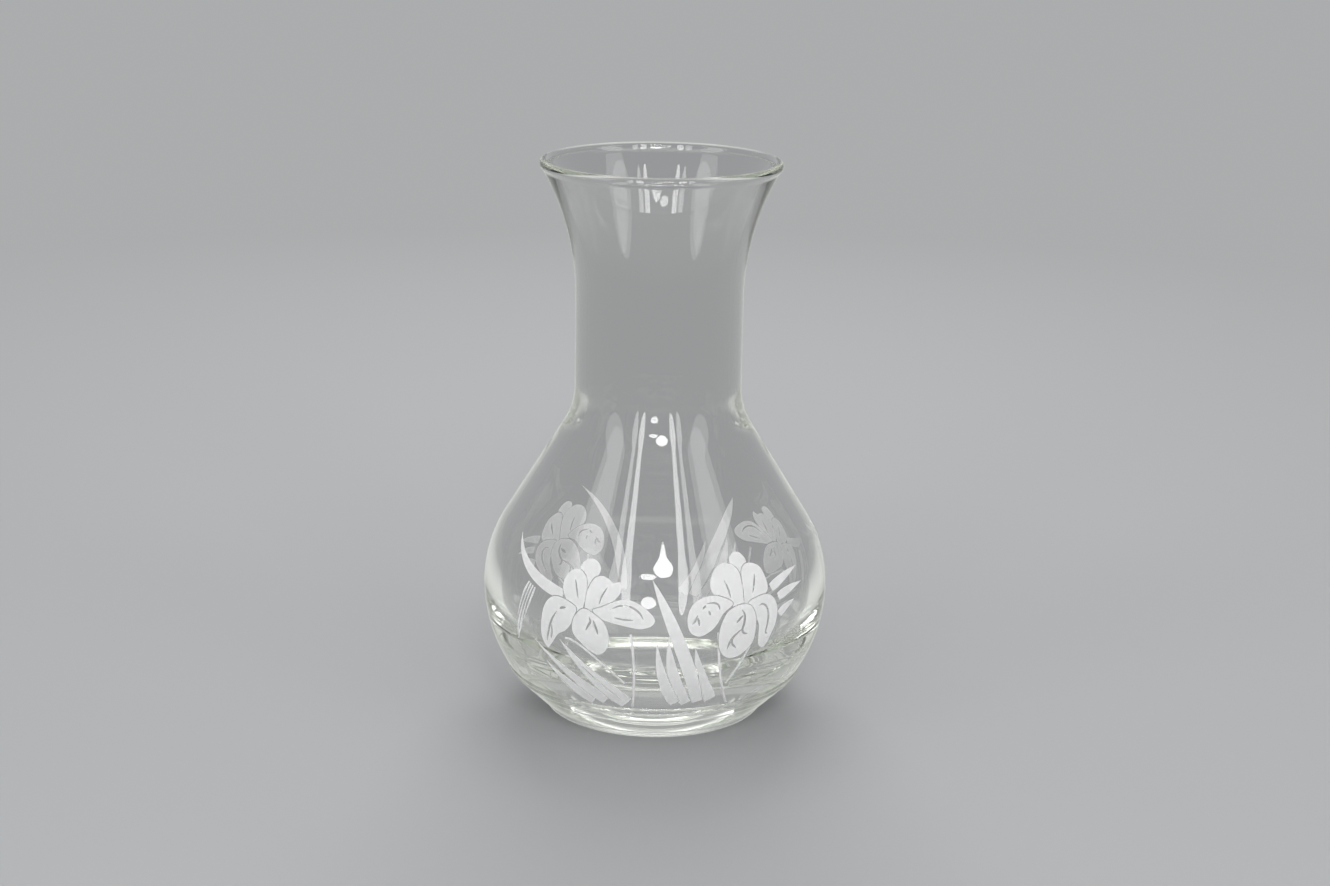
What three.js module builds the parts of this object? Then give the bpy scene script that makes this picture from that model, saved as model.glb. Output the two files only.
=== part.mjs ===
// A clear glass flower vase, blown in one piece: a round belly on a plain foot, sloping shoulders, a
// straight neck and a flared mouth that ends in a rounded lip. A spray of irises in thin white frost
// lies on the outside of the belly at the front, and a wider, lower spray of the same flowers at the back.
// Millimetres, +Z up. The origin is the centre of the plane that the vase stands on, and the front
// faces -Y.

import * as THREE from "three";

const DEGREE = Math.PI / 180;

// Glass: the outside, from the foot up
const UNDERSIDE_RISE = 1.6; // how far the middle of the underside is dished
const BEARING_WIDTH = 5; // flat ring that the vase stands on
const FOOT_CORNER = 2.2; // rounding between the bearing ring and the foot's side
const FOOT_RADIUS = 35.5; // where the belly's curve would meet the resting plane
const FOOT_HEIGHT = 9.2; // height of the line round the foot
const FOOT_STEP = 0.4; // how far the foot's side is set in below that line
const BELLY_RADIUS = 58.9; // widest ring
const BELLY_HEIGHT = 44; // height of the widest ring
const BELLY_RISE = 50.5; // vertical half-axis of the belly's curve above the widest ring
const SHOULDER_ANGLE = 31.8 * DEGREE; // slope of the shoulders from the vertical
const SHOULDER_BLEND = 26; // hollow rounding where the shoulders turn into the neck
const NECK_RADIUS = 28.2;
const NECK_LENGTH = 30.6; // straight part of the neck
const FLARE_LENGTH = 43; // height of the flared mouth below the lip
const MOUTH_RADIUS = 39.6; // outside of the flare just below the lip
const LIP_RADIUS = 1.55; // rounded lip, a little thicker than the wall below it

// Glass: the wall
const FLOOR = 9; // height of the inside floor above the resting plane
const BELLY_WALL = 5.5;
const NECK_WALL = 4;
const MOUTH_WALL = 2.6;

// Frost: a thin white layer fired on the outside of the glass
const FROST_THICKNESS = 0.2;
const FROST_CLEARANCE = 0.15; // between the frost's back and the glass
const BACK_TURN = 180 * DEGREE; // from the middle of the front spray round to the middle of the back one
const SPRAY_WIDTH = 119.5; // front spray, round the widest ring, between the tips of the outermost blades

// Drawing of a spray, flat, to the scale that gives the spray its width: each point is [across, up],
// across round the widest ring from the middle of the spray, and up along the glass from that ring. A
// stroke runs from its root to its tip, drawn towards its bend, and has a half-width on its left and on
// its right. The petals are measured from the bloom's throat: three hang as falls and three stand as
// standards.
const PETALS = [
  { name: "outer_fall", root: [-3, -0.4], bend: [-12.3, 2], tip: [-12.6, -15.5], left: 4.6, right: 3.8 },
  { name: "middle_fall", root: [1.4, -1.2], bend: [3.2, -7], tip: [2.4, -15], left: 6, right: 5.4 },
  { name: "inner_fall", root: [4.6, -0.8], bend: [13, 2], tip: [20, -4.2], left: 3.8, right: 3.8 },
  { name: "outer_standard", root: [-1.6, 1.9], bend: [-4.4, 6], tip: [-5, 11.4], left: 3.8, right: 3.6 },
  { name: "middle_standard", root: [1, 10.8], bend: [0.8, 13], tip: [1.2, 15.4], left: 3.4, right: 3.4 },
  { name: "inner_standard", root: [4.2, 3.6], bend: [6.6, 6.6], tip: [8, 11.6], left: 4.2, right: 3.8 },
];
const BLOOMS = [
  { name: "left_iris", throat: [-24.4, 8.5], lean: 0, mirrored: false },
  { name: "right_iris", throat: [30.4, 8.5], lean: -8 * DEGREE, mirrored: true },
];
const BLADES = [
  { name: "left_blade_1", root: [-9.5, -25.6], bend: [-22, -15.5], tip: [-32.3, -4.9], half: 2.8 },
  { name: "left_blade_2", root: [-17, -26.4], bend: [-29.5, -17], tip: [-43, -7.2], half: 2.2 },
  { name: "left_blade_3", root: [-24, -27], bend: [-33, -20.8], tip: [-43, -13], half: 2 },
  { name: "long_blade", root: [15.8, -26.5], bend: [9, 1], tip: [-0.5, 18.5], half: 2.3 },
  { name: "middle_blade_1", root: [6.4, -27], bend: [2.4, -18], tip: [0.2, -3], half: 2.1 },
  { name: "middle_blade_2", root: [11, -26.8], bend: [7, -16], tip: [5.6, -2], half: 2.1 },
  { name: "middle_blade_3", root: [20.8, -25.8], bend: [17.4, -15], tip: [14.6, -3], half: 2.2 },
  { name: "right_blade_1", root: [45.6, 2.8], bend: [49, 5], tip: [53.6, 6], half: 1.3 },
  { name: "right_blade_2", root: [45.8, 8.6], bend: [51.5, 10.4], tip: [59, 10.8], half: 1.4 },
  { name: "right_blade_3", root: [43.5, 12.2], bend: [50, 15], tip: [58, 16.4], half: 1.5 },
  { name: "far_left_blade", root: [-35.6, 12.4], bend: [-52, 14.5], tip: [-60.5, 26], half: 1.9 },
];
const STEMS = [
  { name: "left_stem", root: [-6.8, -28], bend: [-6.8, -20], tip: [-6.6, -12] },
  { name: "right_stem", root: [25.4, -27.5], bend: [23.4, -19], tip: [21.8, -9.5] },
  { name: "left_grass", root: [-10, -18.5], bend: [-23.5, -6], tip: [-29.5, -4.9] },
  { name: "right_grass", root: [25.4, -18.5], bend: [31.5, -11.5], tip: [34.6, -5] },
  { name: "far_left_grass", root: [-51, -4], bend: [-48.6, 4], tip: [-45.4, 11] },
];
// The back spray has the same strokes. Those whose names start alike are moved together, [across, up], and
// one blade more stands in the gap that this leaves.
const BACK_MOVES = [
  { start: "right_stem", move: [6, -2] },
  { start: "right", move: [10, -9] },
  { start: "middle", move: [-34, 0] },
  { start: "long", move: [-34, 0] },
  { start: "left", move: [-33, -2.5] },
  { start: "far_left", move: [-33, -2.5] },
];
const LONE_BLADE = { name: "lone_blade", root: [14.5, -24], bend: [11.5, 3], tip: [36, 24], half: 1.9 };
const SPRAYS = [
  { side: "front", turn: 0, moves: [], blades: BLADES },
  { side: "back", turn: BACK_TURN, moves: BACK_MOVES, blades: [...BLADES, LONE_BLADE] },
];
const STEM_HALF = 0.5;
const TIP_HALF = 0.2; // half-width that a stroke keeps at its narrow ends

// Fineness of the faceted surfaces
const GLASS_SEGMENTS = 60;
const FACET_SAG = 0.1; // how far a chord of the glass's outline may cut inside its curve
const STROKE_STEP = 4.5; // longest step along a stroke
const STROKE_CELL = 4; // widest cell across a stroke

const point = (radius, height) => new THREE.Vector2(radius, height);

function arc(centre, radius, from, to) {
  return new THREE.EllipseCurve(centre.x, centre.y, radius, radius, from, to, to < from);
}

function belly(radius, halfHeight, from, to) {
  return new THREE.EllipseCurve(0, BELLY_HEIGHT, radius, halfHeight, from, to, to < from);
}

// The belly's curve below the widest ring reaches the foot's radius at the resting plane
const bellyDrop = BELLY_HEIGHT / Math.sqrt(1 - (FOOT_RADIUS / BELLY_RADIUS) ** 2);
const bellyAngle = (height) => Math.asin((height - BELLY_HEIGHT) / bellyDrop);

// One side of the wall from the widest ring up to the lip: belly, shoulder, hollow blend, neck, flare
function wallAboveBelly({ radius, rise, neck, blend, flareFoot, flareTop }) {
  const slope = Math.tan(SHOULDER_ANGLE);
  const leave = Math.atan((rise / radius) * slope);
  const upperBelly = belly(radius, rise, 0, leave);
  const shoulderFoot = upperBelly.getPoint(1);
  const shoulderTopRadius = neck + blend * (1 - Math.cos(SHOULDER_ANGLE));
  const shoulderTop = point(shoulderTopRadius, shoulderFoot.y + (shoulderFoot.x - shoulderTopRadius) / slope);
  const neckFoot = point(neck, shoulderTop.y + blend * Math.sin(SHOULDER_ANGLE));
  const neckTop = point(neck, flareFoot ?? neckFoot.y + NECK_LENGTH);
  const mouth = flareTop ?? point(MOUTH_RADIUS, neckTop.y + FLARE_LENGTH);
  const out = mouth.x - neck;
  const up = mouth.y - neckTop.y;
  const flareRadius = (out * out + up * up) / (2 * out);
  const flareTurn = Math.asin(up / flareRadius);
  return [
    upperBelly,
    new THREE.LineCurve(shoulderFoot, shoulderTop),
    arc(point(neck + blend, neckFoot.y), blend, Math.PI + SHOULDER_ANGLE, Math.PI),
    new THREE.LineCurve(neckFoot, neckTop),
    arc(point(neck + flareRadius, neckTop.y), flareRadius, Math.PI, Math.PI - flareTurn),
  ];
}

// Outside of the glass: dished underside, bearing ring, rounded corner, foot, line round the foot, belly
const footAngle = bellyAngle(FOOT_HEIGHT);
const cornerAngle = bellyAngle(FOOT_CORNER);
const footSide = new THREE.EllipseCurve(
  -FOOT_STEP, BELLY_HEIGHT, BELLY_RADIUS, bellyDrop, cornerAngle, footAngle);
const footRadius = footSide.getPoint(0).x;
const bearingOuter = point(footRadius - FOOT_CORNER, 0);
const bearingInner = point(bearingOuter.x - BEARING_WIDTH, 0);
const dishRadius = (bearingInner.x ** 2 + UNDERSIDE_RISE ** 2) / (2 * UNDERSIDE_RISE);
const dishEdge = Math.asin((dishRadius - UNDERSIDE_RISE) / dishRadius);
const lowerBelly = belly(BELLY_RADIUS, bellyDrop, bellyAngle(FOOT_HEIGHT + FOOT_STEP), 0);
const upperWall = wallAboveBelly({
  radius: BELLY_RADIUS, rise: BELLY_RISE, neck: NECK_RADIUS, blend: SHOULDER_BLEND });
const outside = [
  arc(point(0, UNDERSIDE_RISE - dishRadius), dishRadius, Math.PI / 2, dishEdge),
  new THREE.LineCurve(bearingInner, bearingOuter),
  new THREE.QuadraticBezierCurve(bearingOuter, point(footRadius, 0), footSide.getPoint(0)),
  footSide,
  new THREE.LineCurve(footSide.getPoint(1), lowerBelly.getPoint(0)),
  lowerBelly,
  ...upperWall,
];

// Lip: a round bead that starts on the outside of the flare and ends on its inside
const flare = upperWall.at(-1);
const flareEnd = flare.getPoint(1);
const along = flare.getTangent(1);
const inward = point(-along.y, along.x);
const flareInnerEnd = flareEnd.clone().addScaledVector(inward, MOUTH_WALL);
const lipCentre = flareEnd.clone().add(flareInnerEnd).multiplyScalar(0.5)
  .addScaledVector(along, Math.sqrt(LIP_RADIUS ** 2 - (MOUTH_WALL / 2) ** 2));
const lip = arc(lipCentre, LIP_RADIUS,
  flareEnd.clone().sub(lipCentre).angle() - 2 * Math.PI, flareInnerEnd.clone().sub(lipCentre).angle());

// Inside of the glass, from the lip down to the middle of the floor
const innerRadius = BELLY_RADIUS - BELLY_WALL;
const innerWall = wallAboveBelly({
  radius: innerRadius,
  rise: BELLY_RISE - BELLY_WALL,
  neck: NECK_RADIUS - NECK_WALL,
  blend: SHOULDER_BLEND + NECK_WALL,
  flareFoot: flare.getPoint(0).y,
  flareTop: flareInnerEnd,
});
const bowl = belly(innerRadius, BELLY_HEIGHT - FLOOR, -Math.PI / 2, 0);
const inside = [bowl, ...innerWall];

function sampled(curves) {
  const points = curves.flatMap((curve) => {
    const length = curve.getLength();
    const turn = curve.isEllipseCurve
      ? Math.abs(curve.aEndAngle - curve.aStartAngle)
      : curve.getTangent(0).angleTo(curve.getTangent(1));
    const steps = Math.ceil(Math.sqrt((length * turn) / (8 * FACET_SAG)));
    return curve.getPoints(Math.max(1, steps)).slice(1);
  });
  return [curves[0].getPoint(0), ...points];
}

function glassGeometry() {
  const down = sampled(inside).reverse().slice(1);
  const profile = [...sampled([...outside, lip]), ...down];
  profile[0].x = 0;
  profile.at(-1).x = 0;
  return new THREE.LatheGeometry(profile, GLASS_SEGMENTS).rotateX(Math.PI / 2);
}

// The outer wall that carries the frost, and the place on it of a flat point of the drawing
const carrier = new THREE.CurvePath();
[lowerBelly, ...upperWall].forEach((curve) => carrier.add(curve));
const carrierLength = carrier.getLength();
const belowRing = lowerBelly.getLength();

function onGlass(flat, turn, lift) {
  const share = (belowRing + flat.y) / carrierLength;
  const wall = carrier.getPoint(share);
  const rising = carrier.getTangent(share);
  const radius = wall.x + rising.y * lift;
  const height = wall.y - rising.x * lift;
  const angle = flat.x / BELLY_RADIUS + turn;
  return [radius * Math.sin(angle), -radius * Math.cos(angle), height];
}

// A length and a point of the drawing at their real size
const bladeTips = BLADES.map(({ tip }) => tip[0]);
const drawingScale = SPRAY_WIDTH / (Math.max(...bladeTips) - Math.min(...bladeTips));
const realLength = (length) => length * drawingScale;
const realPoint = ([across, up]) => point(realLength(across), realLength(up));

// Shares of a stroke's half-width along its length
const petalShare = (t) => Math.sin(Math.PI * t ** 1.2) ** 0.55;
const bladeShare = (t) => Math.min(1, 0.85 + t) * (1 - t ** 2.2);
const stemShare = () => 1;

// A stroke wrapped on the glass: a grid of cells, its back on the glass and its face one thickness out
function strokeGeometry({ name, root, bend, tip, left, right }, share, { turn, moves }) {
  const move = moves.find(({ start }) => name.startsWith(start))?.move ?? [0, 0];
  const ends = [root, bend, tip].map(([across, up]) => realPoint([across + move[0], up + move[1]]));
  const spine = new THREE.QuadraticBezierCurve(...ends);
  const steps = Math.max(4, Math.ceil(spine.getLength() / STROKE_STEP));
  const cells = Math.ceil((left + right) / STROKE_CELL);
  const layers = [FROST_CLEARANCE, FROST_CLEARANCE + FROST_THICKNESS];
  const positions = layers.flatMap((lift) =>
    Array.from({ length: (steps + 1) * (cells + 1) }, (_, index) => {
      const t = (1 - Math.cos((Math.PI * Math.floor(index / (cells + 1))) / steps)) / 2;
      const across = (index % (cells + 1)) / cells;
      const tangent = spine.getTangent(t);
      const width = share(t);
      const leftHalf = Math.max(left * width, TIP_HALF);
      const rightHalf = Math.max(right * width, TIP_HALF);
      const offset = leftHalf - across * (leftHalf + rightHalf);
      const flat = spine.getPoint(t).add(point(-tangent.y, tangent.x).multiplyScalar(offset));
      return onGlass(flat, turn, lift);
    }).flat());
  return new THREE.BufferGeometry()
    .setAttribute("position", new THREE.Float32BufferAttribute(positions, 3))
    .setIndex(slabTriangles(steps, cells));
}

// Triangles of a closed slab of steps by cells, whose back layer of points comes before its face layer
function slabTriangles(steps, cells) {
  const faceStart = (steps + 1) * (cells + 1);
  const back = (row, column) => row * (cells + 1) + column;
  const face = (row, column) => faceStart + back(row, column);
  const quad = (a, b, c, d) => [a, b, c, a, c, d];
  const triangles = [];
  for (let row = 0; row < steps; row += 1) {
    for (let column = 0; column < cells; column += 1) {
      triangles.push(...quad(face(row, column), face(row, column + 1),
        face(row + 1, column + 1), face(row + 1, column)));
      triangles.push(...quad(back(row, column), back(row + 1, column),
        back(row + 1, column + 1), back(row, column + 1)));
    }
    triangles.push(...quad(face(row, 0), face(row + 1, 0), back(row + 1, 0), back(row, 0)));
    triangles.push(...quad(back(row, cells), back(row + 1, cells), face(row + 1, cells), face(row, cells)));
  }
  for (let column = 0; column < cells; column += 1) {
    triangles.push(...quad(face(0, column + 1), face(0, column), back(0, column), back(0, column + 1)));
    triangles.push(...quad(face(steps, column), face(steps, column + 1),
      back(steps, column + 1), back(steps, column)));
  }
  return triangles;
}

// A petal of a bloom, mirrored if the bloom is, leant with it and moved to its throat
function placedPetal(petal, { name, throat, lean, mirrored }) {
  const side = mirrored ? -1 : 1;
  const place = ([across, up]) =>
    point(side * across, up).rotateAround(point(0, 0), lean).add(point(...throat)).toArray();
  return {
    name: `${name}_${petal.name}`,
    root: place(petal.root),
    bend: place(petal.bend),
    tip: place(petal.tip),
    left: realLength(mirrored ? petal.right : petal.left),
    right: realLength(mirrored ? petal.left : petal.right),
  };
}

const glassMaterial = new THREE.MeshStandardMaterial({
  color: 0xeaf2ea, roughness: 0.04, metalness: 0, transparent: true, opacity: 0.35 });
const frostMaterial = new THREE.MeshStandardMaterial({ color: 0xdcdfe0, roughness: 0.9, metalness: 0 });

const vase = new THREE.Group();

function addPiece(name, geometry, material) {
  const piece = new THREE.Mesh(geometry, material);
  piece.name = name;
  vase.add(piece);
}

addPiece("glass_vessel", glassGeometry(), glassMaterial);
for (const spray of SPRAYS) {
  const addStroke = (stroke, share) =>
    addPiece(`${spray.side}_${stroke.name}`, strokeGeometry(stroke, share, spray), frostMaterial);
  for (const bloom of BLOOMS) {
    PETALS.forEach((petal) => addStroke(placedPetal(petal, bloom), petalShare));
  }
  for (const blade of spray.blades) {
    addStroke({ ...blade, left: realLength(blade.half), right: realLength(blade.half) }, bladeShare);
  }
  for (const stem of STEMS) {
    addStroke({ ...stem, left: STEM_HALF, right: STEM_HALF }, stemShare);
  }
}

export default vase;
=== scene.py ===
# %% [markdown]
# # A clear glass vase with frosted irises
# The vase is one piece of blown glass: a foot, a round belly, sloping shoulders, a straight neck
# and a flared mouth. Thin white frost on the outside of the belly draws two irises with their sword
# leaves, once on the front and once on the back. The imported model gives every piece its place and
# its size, so the lesson starts by loading it and keeping its box.

# %% Load the frame
import math

import bpy
import numpy as np
from mathutils import Matrix, Quaternion, Vector, noise
from mathutils.geometry import delaunay_2d_cdt


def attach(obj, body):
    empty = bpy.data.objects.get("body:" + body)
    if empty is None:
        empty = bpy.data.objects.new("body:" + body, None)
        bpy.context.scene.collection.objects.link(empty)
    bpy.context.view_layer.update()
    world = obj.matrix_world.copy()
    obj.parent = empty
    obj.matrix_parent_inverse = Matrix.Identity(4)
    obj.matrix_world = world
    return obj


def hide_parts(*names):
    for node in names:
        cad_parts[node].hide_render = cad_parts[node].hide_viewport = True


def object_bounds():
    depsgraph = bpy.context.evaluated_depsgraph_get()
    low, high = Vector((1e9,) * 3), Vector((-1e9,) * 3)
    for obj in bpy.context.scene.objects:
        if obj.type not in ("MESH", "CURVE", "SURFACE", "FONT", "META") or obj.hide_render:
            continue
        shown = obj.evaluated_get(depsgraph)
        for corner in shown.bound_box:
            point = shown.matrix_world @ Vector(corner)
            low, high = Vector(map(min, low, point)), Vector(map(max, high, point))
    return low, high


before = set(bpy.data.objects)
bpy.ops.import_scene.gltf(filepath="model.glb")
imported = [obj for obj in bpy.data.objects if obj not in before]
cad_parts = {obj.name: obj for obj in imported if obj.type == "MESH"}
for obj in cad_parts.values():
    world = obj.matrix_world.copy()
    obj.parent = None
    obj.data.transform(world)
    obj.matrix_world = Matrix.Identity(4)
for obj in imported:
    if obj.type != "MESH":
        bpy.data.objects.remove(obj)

cad_low, cad_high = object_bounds()
print("CAD box", [round(v, 4) for v in cad_low], [round(v, 4) for v in cad_high])

# %% [markdown]
# ## The outline of the glass
# A round vessel could be a stack of modelled rings, or a sculpted cylinder. Its outline says it
# all, so here the outline is drawn once, from arcs and straight lines, and later turned about the
# upright axis. Lengths are in millimetres, as on a drawing, and each point is a radius and a
# height.

# %% Sizes of the glass
MM = 0.001
UNDERSIDE_RISE = 1.6
BEARING_WIDTH = 5
FOOT_CORNER = 2.2
FOOT_RADIUS = 35.5
FOOT_HEIGHT = 9.2
FOOT_STEP = 0.4
BELLY_RADIUS = 58.9
BELLY_HEIGHT = 44
BELLY_RISE = 50.5
SHOULDER_ANGLE = math.radians(31.8)
SHOULDER_BLEND = 26
NECK_RADIUS = 28.2
NECK_LENGTH = 30.6
FLARE_LENGTH = 43
MOUTH_RADIUS = 39.6
LIP_RADIUS = 1.55
INSIDE_FLOOR = 9
BELLY_WALL = 5.5
NECK_WALL = 4
MOUTH_WALL = 2.6
for part, radius in (("belly", BELLY_RADIUS), ("neck", NECK_RADIUS), ("mouth", MOUTH_RADIUS)):
    print(part, "is", 2 * radius, "mm across")

# %% [markdown]
# ## Arcs and lines
# The whole outline needs only three tools: an arc of an ellipse, a straight line, and a way to put
# such stretches end to end. Each gives a row of points, close enough together that the glass looks
# round.

# %% The ways to draw a stretch of the outline
OUTLINE_STEP = 1.4
LEAST_STEPS = 8
SAME_POINT = 0.01


def arc(centre, radii, start, end, step=OUTLINE_STEP):
    """Points along an ellipse's arc."""
    steps = max(LEAST_STEPS, math.ceil(abs(end - start) * max(radii) / step))
    angles = np.linspace(start, end, steps + 1)
    across = centre[0] + radii[0] * np.cos(angles)
    up = centre[1] + radii[1] * np.sin(angles)
    return np.column_stack([across, up])


def line(start, end):
    """Points along a straight stretch."""
    steps = max(1, math.ceil(math.dist(start, end) / OUTLINE_STEP))
    return np.linspace(start, end, steps + 1)


def joined(*stretches):
    """Stretches end to end, with the points left out that repeat the one before."""
    points = np.vstack(stretches)
    apart = np.linalg.norm(np.diff(points, axis=0), axis=1) > SAME_POINT
    return points[np.concatenate([[True], apart])]


quarter_ring = arc((0, 0), (BELLY_RADIUS, BELLY_RADIUS), 0, math.pi / 2)
print("a quarter of the widest ring takes", len(quarter_ring), "points")


# %% [markdown]
# ## One wall, drawn twice
# The inside of the glass follows the outside: belly, shoulder, hollow blend, neck and flare. One
# function draws that climb for any belly and neck radius, so the outside and the inside differ only
# by their walls.

# %% Wall from the widest ring up to the mouth
def wall_above_belly(radius, rise, neck, blend, neck_top=None, mouth=None):
    """The wall above the widest ring, the height where its neck ends, and its turn at the mouth."""
    slope = math.tan(SHOULDER_ANGLE)
    upper_belly = arc((0, BELLY_HEIGHT), (radius, rise), 0, math.atan(rise / radius * slope))
    shoulder_foot = upper_belly[-1]
    top_radius = neck + blend * (1 - math.cos(SHOULDER_ANGLE))
    shoulder_top = (top_radius, shoulder_foot[1] + (shoulder_foot[0] - top_radius) / slope)
    neck_foot = shoulder_top[1] + blend * math.sin(SHOULDER_ANGLE)
    neck_top = neck_top or neck_foot + NECK_LENGTH
    mouth = mouth or (MOUTH_RADIUS, neck_top + FLARE_LENGTH)
    out, up = mouth[0] - neck, mouth[1] - neck_top
    flare = (out ** 2 + up ** 2) / (2 * out)
    turn = math.asin(up / flare)
    points = joined(
        upper_belly,
        line(shoulder_foot, shoulder_top),
        arc((neck + blend, neck_foot), (blend, blend), math.pi + SHOULDER_ANGLE, math.pi),
        line((neck, neck_foot), (neck, neck_top)),
        arc((neck + flare, neck_top), (flare, flare), math.pi, math.pi - turn),
    )
    return points, neck_top, turn


outer_wall, neck_top, mouth_turn = wall_above_belly(
    BELLY_RADIUS, BELLY_RISE, NECK_RADIUS, SHOULDER_BLEND)
rising = np.array([math.sin(mouth_turn), math.cos(mouth_turn)])
inward = np.array([-rising[1], rising[0]])
mouth_inside = outer_wall[-1] + inward * MOUTH_WALL
inner_radius = BELLY_RADIUS - BELLY_WALL
inner_wall, _, _ = wall_above_belly(
    inner_radius, BELLY_RISE - BELLY_WALL, NECK_RADIUS - NECK_WALL, SHOULDER_BLEND + NECK_WALL,
    neck_top, tuple(mouth_inside))
print("outer wall ends at", np.round(outer_wall[-1], 2))
print("inner wall ends at", np.round(inner_wall[-1], 2))

# %% [markdown]
# ## Foot and mould lines
# Below the belly the glass turns in to a low foot. The mould left a small step round the foot and a
# pair of fine raised rings above it, which catch the light as thin bright lines, so they are drawn
# in the outline and not painted on.

# %% Underside, foot and lower belly
MOULD_RINGS = (12.6, 15.0)
MOULD_RING_HEIGHT = 0.6
MOULD_RING_HALF = 0.7
MOULD_ZONE_TOP = 18
MOULD_STEP = 0.1
belly_drop = BELLY_HEIGHT / math.sqrt(1 - (FOOT_RADIUS / BELLY_RADIUS) ** 2)


def belly_angle(height):
    """Angle on the belly's lower curve at a height."""
    return math.asin((height - BELLY_HEIGHT) / belly_drop)


def below_belly(inset, bottom, top, step=OUTLINE_STEP):
    """The belly's lower curve between two heights, set in by a distance."""
    radii = (BELLY_RADIUS, belly_drop)
    return arc((-inset, BELLY_HEIGHT), radii, belly_angle(bottom), belly_angle(top), step)


foot_side = below_belly(FOOT_STEP, FOOT_CORNER, FOOT_HEIGHT)
mould_zone = below_belly(0, FOOT_HEIGHT + FOOT_STEP, MOULD_ZONE_TOP, MOULD_STEP)
for ring in MOULD_RINGS:
    off = (mould_zone[:, 1] - ring) / MOULD_RING_HALF
    mould_zone[:, 0] += MOULD_RING_HEIGHT * np.sqrt(np.clip(1 - off ** 2, 0, None))
bearing_outer = foot_side[0][0] - FOOT_CORNER
bearing_inner = bearing_outer - BEARING_WIDTH
dish = (bearing_inner ** 2 + UNDERSIDE_RISE ** 2) / (2 * UNDERSIDE_RISE)
dish_edge = math.asin(1 - UNDERSIDE_RISE / dish)
underside = arc((0, UNDERSIDE_RISE - dish), (dish, dish), math.pi / 2, dish_edge)
corner = arc((bearing_outer, FOOT_CORNER), (FOOT_CORNER, FOOT_CORNER), -math.pi / 2, 0)
lower_belly = below_belly(0, MOULD_ZONE_TOP, BELLY_HEIGHT)
print("the foot is", round(2 * float(foot_side[0][0]), 1), "mm across")

# %% [markdown]
# ## Lip and whole outline
# The lip is a round bead a little thicker than the wall below it, as a flame leaves it. With the
# lip the outline is whole: it starts in the middle of the underside, climbs the outside, turns over
# the lip and goes down the inside to the middle of the floor. The lip's top keeps the packed
# model's height.

# %% Lip, inside and whole outline
lip_rise = math.sqrt(LIP_RADIUS ** 2 - (MOUTH_WALL / 2) ** 2)
lip_centre = (outer_wall[-1] + mouth_inside) / 2 + rising * lip_rise
lip_start = math.atan2(*(outer_wall[-1] - lip_centre)[::-1])
lip_end = math.atan2(*(mouth_inside - lip_centre)[::-1]) % (2 * math.pi)
lip = arc(lip_centre, (LIP_RADIUS, LIP_RADIUS), lip_start, lip_end, LIP_RADIUS / LEAST_STEPS)
lip[:, 1] = np.minimum(lip[:, 1], cad_high[2] / MM)
bowl = arc((0, BELLY_HEIGHT), (inner_radius, BELLY_HEIGHT - INSIDE_FLOOR), 0, -math.pi / 2)
outside = joined(underside, corner, foot_side, mould_zone, lower_belly, outer_wall, lip)
outline = joined(outside, inner_wall[::-1], bowl)
print("outline has", len(outline), "points and is", round(float(outline[:, 1].max()), 2), "mm tall")

# %% [markdown]
# ## Turning the outline into blown glass
# Blown glass is never quite true inside: the wall swells and thins in slow waves, which bend what
# shows through it. The outside stays as the mould left it, and each inside point moves by a little
# smooth noise, stretched upwards because the glass was drawn that way. The waves die out at the lip
# and on the axis.

# %% Rings of the vessel, with slow waves in the inside
SEGMENTS = 192
WAVE_HEIGHT = 0.07
WAVE_ROUND = 2.2
WAVE_UP = 0.022
WAVE_FADE = 14


def wave(radius, height, turn):
    """How far the inside of the glass swells at a place."""
    fade = min(1, (outline[:, 1].max() - height) / WAVE_FADE) * min(1, radius / WAVE_FADE)
    place = Vector((WAVE_ROUND * math.cos(turn), WAVE_ROUND * math.sin(turn), WAVE_UP * height))
    return WAVE_HEIGHT * fade * noise.noise(place)


def glass_vertices():
    """Every vertex of the vessel, ring by ring, with one vertex at each end on the axis."""
    vertices = [(0, 0, outline[0][1] * MM)]
    for index, (radius, height) in enumerate(outline[1:-1], start=1):
        for turn in np.linspace(0, 2 * math.pi, SEGMENTS, endpoint=False):
            swell = wave(radius, height, turn) if index >= len(outside) else 0
            across = (radius + swell) * MM
            vertices.append((across * math.cos(turn), across * math.sin(turn), height * MM))
    return [*vertices, (0, 0, outline[-1][1] * MM)]


def glass_faces():
    """Faces between neighbouring rings, with a fan at each end."""
    last = 1 + (len(outline) - 2) * SEGMENTS
    faces = []
    for column in range(SEGMENTS):
        beside = (column + 1) % SEGMENTS
        faces.append((0, 1 + beside, 1 + column))
        faces.append((last, last - SEGMENTS + column, last - SEGMENTS + beside))
        for low in range(1, last - SEGMENTS, SEGMENTS):
            high = low + SEGMENTS
            faces.append((low + column, low + beside, high + beside, high + column))
    return faces


print("the vessel has", len(outline) - 2, "rings of", SEGMENTS, "points")


# %% [markdown]
# ## The vessel
# The rings and faces become one closed mesh, shaded smooth. The same small function makes the
# patches of frost later on.

# %% The vessel itself
def new_piece(name, vertices, faces):
    """A mesh object in the scene."""
    mesh = bpy.data.meshes.new(name)
    mesh.from_pydata(vertices, [], faces)
    mesh.update()
    piece = bpy.data.objects.new(name, mesh)
    bpy.context.collection.objects.link(piece)
    return piece


blown_glass = new_piece("blown_glass", glass_vertices(), glass_faces())
blown_glass.data.shade_smooth()
print("blown glass has", len(blown_glass.data.polygons), "faces")

# %% [markdown]
# ## Clear glass
# The glass is plain soda-lime glass: clear, with a faint green that only shows where the light runs
# far through it, at the foot and along the edges. A colour on the surface would tint thin and thick
# glass alike, so the green is absorption inside the volume. A very low bump gives the skin that a
# mould leaves.

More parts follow.
